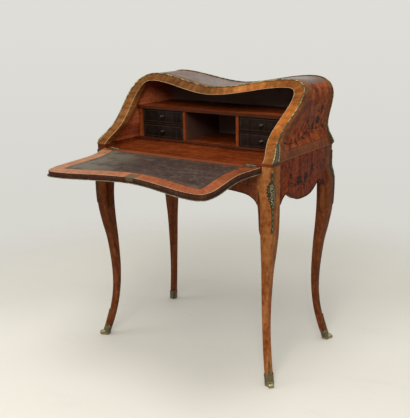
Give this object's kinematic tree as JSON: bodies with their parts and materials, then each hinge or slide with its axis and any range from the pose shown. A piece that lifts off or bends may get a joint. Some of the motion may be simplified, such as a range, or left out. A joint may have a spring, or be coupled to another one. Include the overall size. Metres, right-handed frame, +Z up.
{
  "type": "slant-front writing desk",
  "caption": "Lady's slant-front writing desk: serpentine upper case with a hinged, leather-lined fall over a nest of small drawers, on slender cabriole legs with bronze mounts.",
  "frame": {"origin": "on the floor, under the middle of the case (the middle of the rectangle between the four feet)", "axes": "+X to the sitter's right, +Y to the back of the desk, +Z up; the fall opens towards -Y"},
  "size_m": [0.7312, 0.7184, 0.9326],
  "materials": {
    "case_veneer": "french-polished tulipwood and kingwood veneer with floral inlay",
    "banding": "french-polished cross-banded veneer",
    "leg_veneer": "french-polished veneer",
    "inner_veneer": "polished veneer",
    "drawer_veneer": "dark polished veneer",
    "secondary_wood": "bare oak",
    "leather": "worn smooth leather",
    "brass": "worn brass",
    "bronze": "dark gilt bronze, rubbed on the high points"
  },
  "bodies": {
    "case": {"leg_front_left": "leg_veneer", "leg_front_right": "leg_veneer", "leg_back_left": "leg_veneer", "leg_back_right": "leg_veneer", "shoe_front_left": "bronze", "shoe_front_right": "bronze", "shoe_back_left": "bronze", "shoe_back_right": "bronze", "knee_mount_front_left": "bronze", "knee_mount_front_right": "bronze", "knee_mount_back_left": "bronze", "knee_mount_back_right": "bronze", "front_frieze": "case_veneer", "back_frieze": "case_veneer", "side_apron_left": "case_veneer", "side_apron_right": "case_veneer", "upper_side_left": "case_veneer", "upper_side_right": "case_veneer", "top_board": "case_veneer", "bed_bearers": "secondary_wood", "back_board": "secondary_wood", "writing_bed": "inner_veneer", "nest_base": "inner_veneer", "nest_shelf": "inner_veneer", "nest_ends": "inner_veneer", "nest_divider_left": "inner_veneer", "nest_divider_right": "inner_veneer", "nest_rails": "drawer_veneer", "front_rim": "banding", "corner_mounts_front": "bronze", "corner_mounts_back": "bronze", "hinge_case_leaves": "brass", "hinge_pins": "brass", "hinge_screws_case": "brass", "strike_plate": "brass", "rim_fillet": "brass", "back_fillet": "brass"},
    "fall": {"fall_board": "banding", "leather_panel": "leather", "fall_moulding": "bronze", "hinge_fall_leaves": "brass", "hinge_screws_fall": "brass", "lock_body": "brass", "escutcheon": "bronze"},
    "bolt": {"lock_bolt": "brass"},
    "drawer_upper_left": {"drawer_front_upper_left": "drawer_veneer", "drawer_box_upper_left": "secondary_wood", "knob_upper_left": "brass"},
    "drawer_lower_left": {"drawer_front_lower_left": "drawer_veneer", "drawer_box_lower_left": "secondary_wood", "knob_lower_left": "brass"},
    "drawer_upper_right": {"drawer_front_upper_right": "drawer_veneer", "drawer_box_upper_right": "secondary_wood", "knob_upper_right": "brass"},
    "drawer_lower_right": {"drawer_front_lower_right": "drawer_veneer", "drawer_box_lower_right": "secondary_wood", "knob_lower_right": "brass"}
  },
  "joints": [
    {"name": "fall_hinge", "type": "hinge", "parent": "case", "child": "fall", "pos_m": [0, -0.196, 0.697], "axis": [1, 0, 0], "range_deg": [-142.7, 0]},
    {"name": "bolt_slide", "type": "slide", "parent": "fall", "child": "bolt", "axis": [0, -0.9962, -0.0872], "range_m": [0, 0.008]},
    {"name": "drawer_upper_left_slide", "type": "slide", "parent": "case", "child": "drawer_upper_left", "axis": [0, -1, 0], "range_m": [0, 0.11]},
    {"name": "drawer_lower_left_slide", "type": "slide", "parent": "case", "child": "drawer_lower_left", "axis": [0, -1, 0], "range_m": [0, 0.11]},
    {"name": "drawer_upper_right_slide", "type": "slide", "parent": "case", "child": "drawer_upper_right", "axis": [0, -1, 0], "range_m": [0, 0.11]},
    {"name": "drawer_lower_right_slide", "type": "slide", "parent": "case", "child": "drawer_lower_right", "axis": [0, -1, 0], "range_m": [0, 0.11]}
  ]
}
